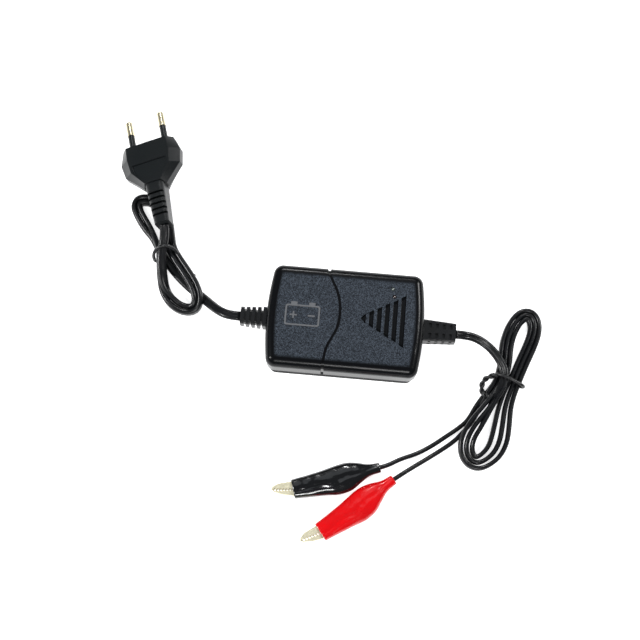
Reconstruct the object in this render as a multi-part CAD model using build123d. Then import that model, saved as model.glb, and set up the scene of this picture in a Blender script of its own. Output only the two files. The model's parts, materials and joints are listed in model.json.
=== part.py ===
"""12 V car battery charger: moulded case, mains lead with a two-pin plug, output lead with two clips.

Millimetres. The origin is the middle of the case's underside, +X along the case towards the output
lead, +Y towards the plug's side and +Z up. Everything lies on the plane z = 0.
"""
from build123d import *
import os
from math import cos, pi, radians, sin, tan

os.makedirs("parts", exist_ok=True)

# ---------------------------------------------------------------- driving dimensions
CASE_CORNER_X = 38.2        # half length of the case at its corners
CASE_MID_X = 40.6           # half length at the middle of the bowed ends
CASE_HALF_Y = 27.1
CASE_H = 25.0
PARTING_Z = 12.5            # the two shells meet here, at the height of both strain reliefs
CASE_CORNER_R = 5.0
TOP_EDGE_R = 4.6
BOTTOM_EDGE_R = 1.5
WALL = 2.0
LOWER_INSET = 0.4           # the lower shell stands back by this much all round
LOWER_DRAFT = 4.0           # degrees
LIP_H = 1.5
LIP_T = 0.9

SCREW_X = 33.0
SCREW_Y = 19.5
SCREW_D = 2.5
SCREW_HEAD_D = 4.6
SCREW_HEAD_H = 1.8
SCREW_L = 13.0
BOSS_D = 6.0

BOARD_X = 60.0
BOARD_Y = 46.0
BOARD_T = 1.6
BOARD_Z = 6.0               # underside of the board

GROOVE_W = 1.4
GROOVE_DEPTH = 0.8
VENT_PITCH = 4.0
VENT_W = 2.4
VENT_DEPTH = 0.9
VENT_END_RUN = 1.5          # the scoops' ends slope down over this length
VENT_SIDE_RUN = 0.4
VENT_FIRST_X = 9.2
VENT_Y = 1.2
VENT_LENGTHS = (4.3, 8.3, 12.7, 17.3, 21.3, 26.4)
LED_D = 2.0
LED_PLACES = {"charge_led": (23.2, 17.9), "power_led": (24.3, 13.9)}
EMBLEM_X = -22.0
EMBLEM_LINE = 1.0
EMBLEM_H = 0.45
EMBLEM_BEVEL = 0.25

MAINS_T = 3.1               # flat two-core mains lead, width by thickness
MAINS_W = 5.1
DC_T = 2.4                  # figure-eight output lead: two round cores of this diameter
SINGLE_D = 2.4
TIE_D = 1.6

PIN_D = 4.0
PIN_CORE_D = 3.0            # inside the sleeve and the body
PIN_SPACING = 18.6
PIN_LENGTH = 19.0
SLEEVE_D = 3.6
SLEEVE_LENGTH = 10.0
PIN_ANCHOR = 8.0            # how far a pin goes into the body
SLEEVE_ANCHOR = 6.0
PLUG_HALF_T = 6.85
PLUG_L = 49.0               # body and neck, without the pins

PIVOT = (0.0, 1.3)          # the rivet in a clip's own frame: u forward, v towards the moving jaw
SHEET = 0.6                 # thickness of the clips' steel
FIXED_HALF_W = 3.3          # half width over the fixed jaw's side walls
MOVING_HALF_W = 2.6
TAIL_HALF_W = 1.4           # where the fixed jaw is folded round the lead
BOOT_WALL = 0.8
BOOT_CORNER_R = 2.0
CLIP_Z = 5.0                # height of a lying clip's middle plane

MAINS_GLAND_X = -54.6       # outer ends of the strain reliefs
DC_GLAND_X = 57.6

# Places of the loose pieces: where each lies on the table, and the way that it points
PLUG_AT = (-114.7, 91.9, 9.45)
PLUG_HEADING = 107.6
PLUG_PITCH = 7.0            # the pins dip, because the neck lies on the tied turns
PLUG_ROLL = -12.0
BLACK_CLIP_NECK = (24.0, -71.4)
BLACK_HEADING = -162.3
RED_CLIP_NECK = (31.4, -76.9)
RED_HEADING = -141.0
NECK_U = -29.5              # rear end of a boot in its clip's frame

# ---------------------------------------------------------------- small helpers


def save(name, shape):
    """Write one named piece to its own STEP file."""
    shape.label = name
    export_step(shape, f"parts/{name}.step")


def block(x0, x1, y0, y1, z0, z1):
    """Box between two opposite corners."""
    size = (x1 - x0, y1 - y0, z1 - z0)
    return Pos((x0 + x1) / 2, (y0 + y1) / 2, (z0 + z1) / 2) * Box(*size)


def post(x, y, z0, z1, diameter):
    """Upright cylinder."""
    return Pos(x, y, (z0 + z1) / 2) * Cylinder(diameter / 2, z1 - z0)


def lying(axis, centre, length, diameter):
    """Cylinder along X or Y."""
    turn = Rot(Y=90) if axis == "X" else Rot(X=90)
    return Pos(*centre) * turn * Cylinder(diameter / 2, length)


def plate(outline, z0, z1):
    """Closed straight-sided outline, extruded between two heights."""
    face = make_face(Polyline(*outline, close=True))
    return Pos(0, 0, z0) * extrude(face, z1 - z0)


def smooth_plate(outline, z0, z1):
    """Closed smooth outline, extruded between two heights."""
    face = make_face(Spline(*outline, periodic=True))
    return Pos(0, 0, z0) * extrude(face, z1 - z0)


def corner_radii(route):
    """The largest arc that the two runs at each inner point of a route allow."""
    points = [Vector(*p) for p in route]
    radii = []
    for before, here, after in zip(points, points[1:], points[2:]):
        run_in = here - before
        run_out = after - here
        half_turn = radians(run_in.get_angle(run_out)) / 2
        radii.append(0.45 * min(run_in.length, run_out.length) / tan(half_turn))
    return radii


def cord(name, route, diameter):
    """Round tube along straight runs joined by arcs that touch them."""
    radii = corner_radii(route)
    path = FilletPolyline(*route, radius=radii)
    section = Plane(origin=path @ 0, z_dir=path % 0) * Circle(diameter / 2)
    tube = sweep(section, path=path)
    ratio = tube.volume / (pi * diameter**2 / 4 * path.length)
    rounded = [round(r, 1) for r in radii]
    print(f"{name}: length {path.length:.1f}, volume ratio {ratio:.3f}, arc radii {rounded}")
    save(name, tube)


# ---------------------------------------------------------------- case


def case_outline(inset=0.0):
    """Plan of the case: two straight long sides, two bowed ends, rounded corners."""
    cx, mx, hy = CASE_CORNER_X - inset, CASE_MID_X - inset, CASE_HALF_Y - inset
    sides = [
        Line((-cx, hy), (cx, hy)),
        ThreePointArc((cx, hy), (mx, 0), (cx, -hy)),
        Line((cx, -hy), (-cx, -hy)),
        ThreePointArc((-cx, -hy), (-mx, 0), (-cx, hy)),
    ]
    face = make_face(sides)
    return fillet(face.vertices(), max(CASE_CORNER_R - inset, 1.0))


def case_block(inset, z0, z1, top_radius=0.0):
    """The case's plan, extruded, with its top edge rounded."""
    body = Pos(0, 0, z0) * extrude(case_outline(inset), z1 - z0)
    if top_radius:
        body = fillet(body.edges().group_by(Axis.Z)[-1], top_radius)
    return body


def case_tub(inset, z0, z1):
    """The case's plan at z1, narrowing downwards to z0 by the lower shell's draft."""
    draft = (z1 - z0) * tan(radians(LOWER_DRAFT))
    return loft([Pos(0, 0, z0) * case_outline(inset + draft), Pos(0, 0, z1) * case_outline(inset)])


def wavy_groove():
    """Shallow channel over the top and down both long sides, on a line that bulges to +X."""
    line = Spline((-9.3, 30), (-9.2, 22), (-6.6, 17.2), (-3.8, 10), (-3.0, 4), (-4.2, -6), (-8, -14.5),
                  (-9.4, -22), (-9.5, -30))
    shifted = [line.position_at(i / 24) for i in range(25)]
    left = [(p.X - GROOVE_W / 2, p.Y) for p in shifted]
    right = [(p.X + GROOVE_W / 2, p.Y) for p in shifted]
    band_face = make_face([
        Spline(*left),
        Line(left[-1], right[-1]),
        Spline(*right[::-1]),
        Line(right[0], left[0]),
    ])
    band = Pos(0, 0, PARTING_Z - 1) * extrude(band_face, CASE_H)
    core = case_block(GROOVE_DEPTH, PARTING_Z - 2, CASE_H - GROOVE_DEPTH, TOP_EDGE_R - GROOVE_DEPTH)
    return band - core


def vent_recesses():
    """Six shallow scoops with sloping sides, whose ends follow a triangle that points to -X."""
    cuts = []
    slope = (VENT_LENGTHS[-1] - VENT_LENGTHS[0]) / 2 / (VENT_PITCH * (len(VENT_LENGTHS) - 1))
    for i, length in enumerate(VENT_LENGTHS):
        left = VENT_FIRST_X + i * VENT_PITCH - VENT_W / 2
        right = left + VENT_W
        far = length / 2 + slope * VENT_W / 2
        near = 0.3 if i == 0 else length / 2 - slope * VENT_W / 2
        end_run = min(VENT_END_RUN, 0.35 * far)
        low_left, low_right = left + VENT_SIDE_RUN, right - VENT_SIDE_RUN
        low_near, low_far = max(near - end_run, 0.1), far - end_run
        rim = [(left, VENT_Y + near), (right, VENT_Y + far), (right, VENT_Y - far), (left, VENT_Y - near)]
        floor = [(low_left, VENT_Y + low_near), (low_right, VENT_Y + low_far),
                 (low_right, VENT_Y - low_far), (low_left, VENT_Y - low_near)]
        levels = ((floor, CASE_H - VENT_DEPTH), (rim, CASE_H))
        cuts.append(loft([Pos(0, 0, z) * make_face(Polyline(*outline, close=True))
                          for outline, z in levels], ruled=True))
    return cuts


def emblem():
    """Raised outline of a car battery with a plus and a minus sign, its upper edges bevelled."""
    z0, z1 = CASE_H - 0.2, CASE_H + EMBLEM_H
    half_x, half_y = 9.0, 5.6
    outer = Pos(EMBLEM_X, 0, 0) * RectangleRounded(2 * half_x, 2 * half_y, 1.4)
    inner = Pos(EMBLEM_X, 0, 0) * RectangleRounded(
        2 * (half_x - EMBLEM_LINE), 2 * (half_y - EMBLEM_LINE), 0.7)
    frame = Pos(0, 0, z0) * extrude(outer - inner, z1 - z0)
    plus_x, minus_x = EMBLEM_X - 4.6, EMBLEM_X + 4.6
    arm = EMBLEM_LINE / 2
    minus = block(minus_x - 1.9, minus_x + 1.9, -arm, arm, z0, z1)
    plus = block(plus_x - 1.9, plus_x + 1.9, -arm, arm, z0, z1)
    plus += block(plus_x - arm, plus_x + arm, -1.9, 1.9, z0, z1)
    for x in (plus_x, minus_x):
        frame += block(x - 1.7, x + 1.7, half_y - 0.1, half_y + 1.5, z0, z1)
    return [chamfer(part.edges().group_by(Axis.Z)[-1], EMBLEM_BEVEL) for part in (frame, plus, minus)]


def relief_collars():
    """Space that the inner collars and necks of both strain reliefs take up in the end walls."""
    cuts = []
    for side, half_y, half_z in ((-1, 5.4, 4.6), (1, 5.9, 4.8)):
        x0, x1 = sorted((side * (CASE_MID_X - WALL - 2.2), side * (CASE_MID_X + 1)))
        cuts.append(block(x0, x1, -half_y, half_y, PARTING_Z - half_z, PARTING_Z + half_z))
    return cuts


def make_case():
    screws = [(x, y) for x in (-SCREW_X, SCREW_X) for y in (-SCREW_Y, SCREW_Y)]

    upper = case_block(0, PARTING_Z, CASE_H, TOP_EDGE_R)
    upper -= case_block(WALL, PARTING_Z - 1, CASE_H - WALL, TOP_EDGE_R - WALL)
    upper -= case_block(WALL - LIP_T, PARTING_Z - 1, PARTING_Z + LIP_H + 0.1)
    upper += [post(x, y, PARTING_Z + 0.1, CASE_H - WALL + 0.5, BOSS_D) for x, y in screws]
    upper -= [post(x, y, PARTING_Z - 1, SCREW_HEAD_H + 0.8 + SCREW_L, SCREW_D) for x, y in screws]
    upper -= relief_collars()
    upper -= wavy_groove()
    upper -= vent_recesses()
    upper -= [post(x, y, CASE_H - WALL - 1, CASE_H + 1, LED_D + 0.1) for x, y in LED_PLACES.values()]
    upper += emblem()
    save("upper_shell", upper)

    lower = case_tub(LOWER_INSET, 0, PARTING_Z)
    lower = fillet(lower.edges().group_by(Axis.Z)[0], BOTTOM_EDGE_R)
    lower -= case_tub(LOWER_INSET + WALL, WALL, PARTING_Z + 1)
    lip = case_block(WALL - LIP_T + 0.1, PARTING_Z - 1, PARTING_Z + LIP_H)
    lip -= case_block(WALL + LIP_T - 0.2, PARTING_Z - 2, PARTING_Z + LIP_H + 1)
    lower += lip
    lower += [post(x, y, 0.5, PARTING_Z, BOSS_D) for x, y in screws]
    for x, y in screws:
        lower -= post(x, y, -1, PARTING_Z + 1, SCREW_D + 0.3)
        lower -= post(x, y, -1, SCREW_HEAD_H + 0.8, SCREW_HEAD_D + 0.4)
    supports = [(x, y) for x in (-26, 26) for y in (-19, 19)]
    lower += [post(x, y, WALL - 0.5, BOARD_Z, 3.6) for x, y in supports]
    lower -= relief_collars()
    save("lower_shell", lower)

    threads = []
    for x, y in screws:
        screw = post(x, y, 0.8, 0.8 + SCREW_HEAD_H, SCREW_HEAD_D)
        screw = fillet(screw.edges().group_by(Axis.Z)[0], 0.7)
        screw += post(x, y, 0.8 + SCREW_HEAD_H, 0.8 + SCREW_HEAD_H + SCREW_L - 0.2, SCREW_D)
        for turn in (0, 90):
            screw -= Pos(x, y, 0.8) * Rot(Z=turn) * Box(2.8, 0.6, 1.8)
        threads.append(screw)
    save("case_screws", Compound(threads))


# ---------------------------------------------------------------- electronics inside the case


def led(x, y, lens_top):
    """Round lamp whose dome shows in the lid and whose two legs reach the board."""
    lens = post(x, y, BOARD_Z + BOARD_T + 9, lens_top - LED_D / 2, LED_D)
    lens += Pos(x, y, lens_top - LED_D / 2) * Sphere(LED_D / 2)
    legs = [post(x + side * 0.7, y, BOARD_Z + BOARD_T, BOARD_Z + BOARD_T + 9, 0.5) for side in (-1, 1)]
    return lens + legs


def make_electronics():
    top = BOARD_Z + BOARD_T
    board = block(-BOARD_X / 2, BOARD_X / 2, -BOARD_Y / 2, BOARD_Y / 2, BOARD_Z, top)
    for sx in (-1, 1):
        for sy in (-1, 1):
            board -= post(sx * SCREW_X, sy * SCREW_Y, 0, CASE_H, BOSS_D + 1.2)
    save("circuit_board", board)

    # Transformer: an E-E ferrite core round a bobbin, with the coil wound on it
    tx, ty, core_l, core_w, core_h, leg = 1.0, 0.0, 16.0, 19.0, 12.5, 4.8
    core_z = top + 0.8
    core = block(tx - core_l / 2, tx + core_l / 2, ty - core_w / 2, ty + core_w / 2,
                 core_z + 3.8, core_z + 3.8 + leg)
    window = (core_w - 3 * leg + 2.4) / 2
    for side in (-1, 1):
        y = ty + side * (leg / 2 + window / 2)
        core -= block(tx - core_l / 2 + 2.4, tx + core_l / 2 - 2.4, y - window / 2, y + window / 2,
                      core_z, core_z + core_h)
    save("transformer_core", core)
    mid = core_z + 3.8 + leg / 2
    hole = leg + 0.3
    tube_y, tube_z = hole + 1.2, hole + 1.2
    inside = core_l - 4.8 - 0.2
    bobbin = Pos(tx, ty, mid) * Box(inside, tube_y, tube_z)
    for side in (-1, 1):
        bobbin += Pos(tx + side * (inside / 2 - 0.4), ty, mid) * Box(0.8, leg + 2 * window - 0.2, 12.4)
    bobbin -= Pos(tx, ty, mid) * Box(inside + 1, hole, hole)
    save("transformer_bobbin", bobbin)
    coil = Pos(tx, ty, mid) * Box(inside - 1.6, leg + 2 * window - 0.6, 11.6)
    coil = fillet(coil.edges().filter_by(Axis.X), 1.2)
    coil -= Pos(tx, ty, mid) * Box(inside, tube_y, tube_z)
    save("transformer_winding", coil)

    can = lying("X", (-13.5, -15.5, top + 5.1), 15, 10)
    can = fillet(can.edges(), 0.6)
    save("input_capacitor", can)
    output = post(20.5, -13.5, top, top + 12, 8)
    output = fillet(output.edges().group_by(Axis.Z)[-1], 0.5)
    save("output_capacitor", output)
    save("mains_fuse", lying("X", (-20, 4.2, top + 2.4), 9, 3.6) + [
        post(x, 4.2, top, top + 2.4, 0.7) for x in (-23.6, -16.4)])
    diodes = []
    for x in (-26.5, -23, -19.5, -16):
        diode = lying("Y", (x, 13, top + 1.7), 5.2, 2.7)
        diode += [post(x, 13 + side * 2.2, top, top + 1.7, 0.7) for side in (-1, 1)]
        diodes.append(diode)
    save("rectifier_diodes", Compound(diodes))
    save("safety_capacitor", Pos(-6, 17.5, top + 4.4) * Rot(X=90) * Cylinder(4, 3.2) + [
        post(-6 + side * 2.5, 17.5, top, top + 2, 0.7) for side in (-1, 1)])
    transistor = block(-3, 4.6, -20.2, -17.4, top + 3, top + 12)
    save("switching_transistor", transistor + [
        post(0.8 + i * 2.3, -18.8, top, top + 3, 0.8) for i in (-1, 0, 1)])
    sink = block(-6, 8, -17.3, -16.1, top + 1, top + 13)
    sink += block(6.8, 8, -17.3, -11.9, top + 1, top + 13)
    save("heat_sink", sink)
    chip = block(9.5, 14.3, 13.4, 19.8, top + 0.6, top + 4)
    save("optocoupler", chip + [
        post(x, y, top, top + 0.6, 0.7) for x in (10.3, 13.5) for y in (14.6, 18.6)])
    rectifier = lying("Y", (14, 0, top + 3), 8.4, 5)
    save("output_rectifier", rectifier + [post(14, side * 3.2, top, top + 3, 1.1) for side in (-1, 1)])
    resistors = []
    for x, y in ((-27, -15), (-24, -15), (13, -19.5), (23.2, -3), (23.2, 4)):
        resistor = lying("Y", (x, y, top + 1.5), 5.4, 2.0)
        resistor += [post(x, y + side * 2.3, top, top + 1.5, 0.6) for side in (-1, 1)]
        resistors.append(resistor)
    save("resistors", Compound(resistors))
    for name, (x, y) in LED_PLACES.items():
        save(name, led(x, y, CASE_H + 0.4))

    # Soldered leads between each strain relief and the board
    for name, side, inner_x in (("mains_wires", -1, CASE_MID_X - WALL - 2.2),
                                ("output_wires", 1, CASE_MID_X - WALL - 2.2)):
        wires = []
        for y in (-1.3, 1.3):
            route = [(side * inner_x, y, PARTING_Z), (side * (inner_x - 4), y, PARTING_Z),
                     (side * 28.6, y * 2, PARTING_Z - 1.2), (side * 28.6, y * 2, top)]
            path = FilletPolyline(*route, radius=1.3)
            wires.append(sweep(Plane(origin=path @ 0, z_dir=path % 0) * Circle(0.75), path=path))
        save(name, Compound([w.solid() for w in wires]))


# ---------------------------------------------------------------- strain reliefs


def relief_slice(x, y_size, z_size, thickness, radius=1.0):
    """Rounded plate standing across the lead."""
    face = Plane.YZ * RectangleRounded(y_size, z_size, radius)
    return Pos(x - thickness / 2, 0, PARTING_Z) * extrude(face, thickness)


def make_strain_reliefs():
    # Mains side: a core with five ribs that get smaller outwards, and a collar inside the wall
    inner = CASE_MID_X - WALL - 2.1
    start, end = CASE_MID_X - 0.6, -MAINS_GLAND_X
    core = relief_slice(-(inner + end) / 2, 7.4, 5.8, end - inner, 1.6)
    count = 5
    pitch = (end - start) / count
    for i in range(count):
        x = start + pitch * (i + 0.62)
        shrink = 0.36 * i
        core += relief_slice(-x, 10.6 - shrink, 8.8 - shrink, pitch * 0.6)
    core += relief_slice(-(inner + CASE_MID_X + 0.4) / 2, 9.4, 8.0, CASE_MID_X + 0.4 - inner)
    core += relief_slice(-(inner + 1.0), 10.6, 9.0, 2.0)
    save("mains_strain_relief", core)

    # Output side: a tapered block with four columns and two rows of small windows on each face
    start, end = CASE_MID_X - 0.6, DC_GLAND_X
    body = relief_slice((inner + start + 2) / 2, 10.6, 8.6, start + 2 - inner)
    body += relief_slice(inner + 1.0, 11.6, 9.4, 2.0)
    base = Plane(origin=(start, 0, PARTING_Z), z_dir=(1, 0, 0)) * RectangleRounded(9.4, 11.6, 1.0)
    tip = Plane(origin=(end, 0, PARTING_Z), z_dir=(1, 0, 0)) * RectangleRounded(8.0, 9.8, 1.0)
    body += loft([base, tip])
    columns, window = 4, 1.5
    step = (end - start) / (columns + 0.9)
    for i in range(columns):
        x = start + step * (i + 1.15)
        half_y = 5.8 - 0.9 * (x - start) / (end - start)
        half_z = 4.7 - 0.7 * (x - start) / (end - start)
        for row in (-1, 1):
            for side in (-1, 1):
                y = row * half_y * 0.48
                z = PARTING_Z + side * half_z
                body -= block(x - window / 2, x + window / 2, y - 1.2, y + 1.2, z - 1.0, z + 1.0)
                y = side * half_y
                z = PARTING_Z + row * half_z * 0.48
                body -= block(x - window / 2, x + window / 2, y - 1.0, y + 1.0, z - 1.0, z + 1.0)
    save("dc_strain_relief", body)


# ---------------------------------------------------------------- mains plug


def plug_place():
    """From the plug's own frame, +X along the pins and +Z out of its top face, to the table."""
    return Location(PLUG_AT) * Rot(Z=PLUG_HEADING) * Rot(Y=PLUG_PITCH) * Rot(X=PLUG_ROLL)


def make_plug():
    place = plug_place()
    band = [(0, 14.8), (-8, 17.2), (-16, 15.8), (-26, 6.4), (-26, -6.4), (-16, -15.8), (-8, -17.2),
            (0, -14.8)]
    flat = [(-0.7, 11.6), (-8, 12.0), (-16.5, 11.0), (-25.2, 4.6), (-25.2, -4.6), (-16.5, -11.0),
            (-8, -12.0), (-0.7, -11.6)]
    band_half, face_half = 2.2, PLUG_HALF_T
    body = plate(band, -band_half, band_half)
    for side in (-1, 1):
        lower = Pos(0, 0, side * band_half) * make_face(Polyline(*band, close=True))
        upper = Pos(0, 0, side * face_half) * make_face(Polyline(*flat, close=True))
        body += loft([lower, upper], ruled=True)
    # Neck: a tapered strain relief with cross grooves in both flat faces
    neck_end = -PLUG_L
    root = Plane(origin=(-24.5, 0, 0), z_dir=(-1, 0, 0)) * RectangleRounded(12.4, 10.4, 2.6)
    tip = Plane(origin=(neck_end, 0, 0), z_dir=(-1, 0, 0)) * RectangleRounded(10.2, 8.2, 2.2)
    body += loft([root, tip])
    for i in range(5):
        x = -31.6 - i * 3.2
        height = 5.2 - 1.1 * (-24.5 - x) / (-24.5 - neck_end)
        for side in (-1, 1):
            body -= Pos(x, 0, side * (height + 0.1)) * Box(1.3, 9.0, 1.9)
    # Half-moon finger rests in both faces
    for side in (-1, 1):
        moon = make_face([Line((-12.6, -9.6), (-12.6, 9.6)),
                          ThreePointArc((-12.6, 9.6), (-23.2, 0), (-12.6, -9.6))])
        z = face_half if side > 0 else -face_half - 1
        body -= Pos(0, 0, z - (0.6 if side > 0 else -0.6)) * extrude(moon, 1)
    sleeves = []
    pins = []
    for y in (-PIN_SPACING / 2, PIN_SPACING / 2):
        bore = lying("X", (0, y, 0), 60, PIN_CORE_D)
        middle = (SLEEVE_LENGTH - SLEEVE_ANCHOR) / 2
        sleeve = lying("X", (middle, y, 0), SLEEVE_LENGTH + SLEEVE_ANCHOR, SLEEVE_D)
        sleeves.append(place * (sleeve - bore))
        bare = PIN_LENGTH - SLEEVE_LENGTH
        pin = lying("X", (PIN_LENGTH - bare / 2, y, 0), bare, PIN_D)
        pin = fillet(pin.edges().group_by(Axis.X)[-1], 1.3)
        middle = (SLEEVE_LENGTH - PIN_ANCHOR) / 2
        pin += lying("X", (middle, y, 0), SLEEVE_LENGTH + PIN_ANCHOR, PIN_CORE_D)
        pins.append(place * pin)
        body -= lying("X", (-SLEEVE_ANCHOR / 2, y, 0), SLEEVE_ANCHOR, SLEEVE_D)
        body -= lying("X", (-PIN_ANCHOR / 2, y, 0), PIN_ANCHOR, PIN_CORE_D)
    save("plug_body", place * body)
    save("pin_sleeves", Compound(sleeves))
    save("plug_pins", Compound(pins))


# ---------------------------------------------------------------- leads and hanks


def make_mains_lead():
    inside_neck = (plug_place() * Pos(0.6 - PLUG_L, 0, 0)).position
    cord("mains_lead", [(MAINS_GLAND_X, 0, PARTING_Z), (-60.9, 0, PARTING_Z), (-66.8, 2.7, 10.0),
                        (-72.0, 6.9, 5.9), (-76.4, 10.6, 2.4)], MAINS_T)
    cord("mains_lead_end", [(-100.3, 34.4, 9.4), (-99.7, 38.3, 11.6), (-99.3, 42.2, 14.0),
                            tuple(inside_neck)], MAINS_T)
    # The tied turns: a lower loop and an upper loop that leave two real holes
    outer = [(-103.4, 26), (-102.4, 18.5), (-99.8, 11.0), (-95, 5), (-89, 1.6), (-82, 0.2), (-77, 1.8),
             (-75.4, 8), (-77.8, 16), (-84, 24), (-90.5, 30.5), (-93.6, 36), (-95.4, 44), (-97, 52),
             (-100.6, 59.5), (-107, 64.4), (-114.4, 65.2), (-120.2, 62), (-120.6, 55.5), (-114.5, 45.5),
             (-107.5, 36.8), (-104.6, 32)]
    turns = smooth_plate(outer, 0, 5.3)
    lower_hole = [(-97.4, 23), (-95.2, 16), (-91.4, 9.4), (-86.8, 6.4), (-82.8, 7.6), (-82.6, 12),
                  (-86.5, 17), (-92.5, 23)]
    upper_hole = [(-105.2, 43.5), (-110.8, 51), (-114, 57), (-111.2, 60.6), (-105.5, 59), (-102.4, 54),
                  (-101.2, 47)]
    turns -= smooth_plate(lower_hole, -1, 7)
    turns -= smooth_plate(upper_hole, -1, 7)
    turns += smooth_plate([(-104.4, 28), (-104.6, 34), (-99, 38), (-93.6, 36), (-92, 31), (-97, 26.6)],
                          0.2, 10.9)
    tie = tie_ring((-98.8, 32.4), 11.4, 11.8, 98)
    save("mains_hank", turns - tie_space((-98.8, 32.4), 11.4, 11.8, 98))
    save("mains_tie", tie)


def tie_ring(centre, width, height, heading):
    """Twist tie round a bundle: a flat-sided ring of round wire, lying across the bundle."""
    loop = RectangleRounded(width, height, 2.6)
    wire_path = Plane.XZ * loop.wire()
    ring = sweep(Plane(origin=wire_path @ 0, z_dir=wire_path % 0) * Circle(TIE_D / 2), path=wire_path)
    across = Pos(centre[0], centre[1], height / 2 + TIE_D / 2) * Rot(Z=heading - 90)
    return across * ring


def tie_space(centre, width, height, heading):
    """Everything outside a tie's inner edge, in the slice of the bundle that it lies in."""
    depth = TIE_D + 0.1
    slab = Box(40, depth, 40)
    slab -= Plane.XZ * extrude(RectangleRounded(width - depth, height - depth, 1.8), 10, both=True)
    return Pos(centre[0], centre[1], height / 2 + TIE_D / 2) * Rot(Z=heading - 90) * slab


def make_output_lead():
    cord("dc_lead", [(DC_GLAND_X, 0, PARTING_Z), (62.4, 0, PARTING_Z), (68.2, 0, 9.6), (74.0, -2.2, 7.6),
                     (79.0, -6.0, 6.6), (82.8, -10.8, 6.3), (84.6, -15.6, 6.3)], DC_T)
    outer = [(82.0, -16), (81.8, -6), (82.2, 2), (84.6, 9.5), (89.4, 16.6), (95.6, 19.9), (101.2, 18),
             (104.4, 11), (104.0, 3.5), (100.6, -6), (96.4, -14.5), (94.4, -22), (92, -30),
             (91.2, -40), (90.8, -51), (87.4, -59.6), (81, -65.4), (74.5, -68.6), (67.6, -66.6),
             (63.2, -59.5), (63.4, -50.5), (68, -41), (75, -31.5), (80.6, -23.5)]
    turns = smooth_plate(outer, 0, 5.0)
    upper_hole = [(90.6, -12), (90.8, -1), (93.4, 7.6), (96.4, 11.6), (98, 8), (97, -0.5), (93.6, -9)]
    lower_hole = [(83, -37), (79, -45), (75, -53), (74.6, -58), (78.4, -56), (81.4, -49)]
    turns -= smooth_plate(upper_hole, -1, 7)
    turns -= smooth_plate(lower_hole, -1, 7)
    turns += smooth_plate([(82, -18), (86, -14.8), (92, -16.4), (94.6, -21), (93, -27), (87, -28.6),
                           (81.4, -24.6)], 0.2, 7.5)
    tie = tie_ring((88.0, -20.6), 15.0, 8.2, 76)
    save("dc_hank", turns - tie_space((88.0, -20.6), 15.0, 8.2, 76))
    save("dc_tie", tie)
    black_end = clip_point(BLACK_CLIP_NECK, BLACK_HEADING, 2.5, 0)
    black_in = clip_point(BLACK_CLIP_NECK, BLACK_HEADING, -6, 0)
    cord("black_lead", [(63.6, -47.2, 1.3), (57.6, -51.3, 1.3), (50.4, -55.7, 1.3), (42.6, -60.5, 1.9),
                        (36.0, -65.3, 3.4), black_in, black_end], SINGLE_D)
    red_end = clip_point(RED_CLIP_NECK, RED_HEADING, 2.5, 0)
    red_in = clip_point(RED_CLIP_NECK, RED_HEADING, -6, 0)
    cord("red_lead", [(62.8, -52.3, 1.3), (57.0, -57.6, 1.3), (50.2, -62.6, 1.5), (43.4, -67.8, 3.1),
                      red_in, red_end], SINGLE_D)


# ---------------------------------------------------------------- clips


def clip_point(neck, heading, u, v):
    """A point in a clip's frame, u past its boot's rear end, on the table."""
    a = radians(heading)
    return (neck[0] + u * cos(a) - v * sin(a), neck[1] + u * sin(a) + v * cos(a), CLIP_Z)


def clip_place(neck, heading):
    """From a clip's own frame, with the rivet's height as its origin, to the table."""
    x, y, z = clip_point(neck, heading, -NECK_U, 0)
    return Location((x, y, z)) * Rot(Z=heading)


def channel(profile, hollow, half_width):
    """Folded steel channel: a profile over the full width, less what is inside its walls."""
    body = plate(profile, -half_width, half_width)
    return body - plate(hollow, -half_width + SHEET, half_width - SHEET)


def teeth(first_u, last_u, line, side):
    """Notches along a jaw's edge, so that the edge left between them is a row of teeth."""
    notches = []
    u = first_u
    while u < last_u:
        points = [(u, line(u)), (u + 0.6, line(u + 0.6) + side * 0.7), (u + 1.2, line(u + 1.2))]
        notches.append(plate(points, -5, 5))
        u += 1.5
    return notches


def bite(u):
    """Height of the line where the closed jaws meet: it slants towards the fixed jaw at the tip."""
    return 3.2 - 0.222 * (u - 8)


def fixed_jaw():
    gap = 0.08
    profile = [(27, bite(27) - gap), (8, bite(8) - gap), (3.4, 3.6), (0, 4.4), (-3.2, 2.6), (-6, -1.2),
               (-20, -0.6), (-27, 1.3), (-27, -1.3), (-24, -1.5), (-19, -2.9), (-13, -4.9),
               (-8, -4.6), (0, -3.6), (8, -3.0), (16, -2.8), (23, -3.2), (26, -2.3)]
    hollow = [(30, bite(27) + 2), (25.2, -1.9), (22.8, -2.6), (16, -2.2), (8, -2.4), (0, -3.0),
              (-8, -4.0), (-13, -4.3), (-18.4, -2.4), (-20, -1.9), (-20, 6), (0, 9), (30, 9)]
    jaw = channel(profile, hollow, FIXED_HALF_W)
    jaw -= teeth(9.5, 26, lambda u: bite(u) - gap, -1)
    # The tail is folded round the lead's end
    jaw -= block(-30, -19.8, -6, 6, TAIL_HALF_W, 5)
    jaw -= block(-30, -19.8, -6, 6, -5, -TAIL_HALF_W)
    jaw -= Pos(PIVOT[0], PIVOT[1], 0) * Cylinder(1.3, 12)
    return jaw


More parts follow.
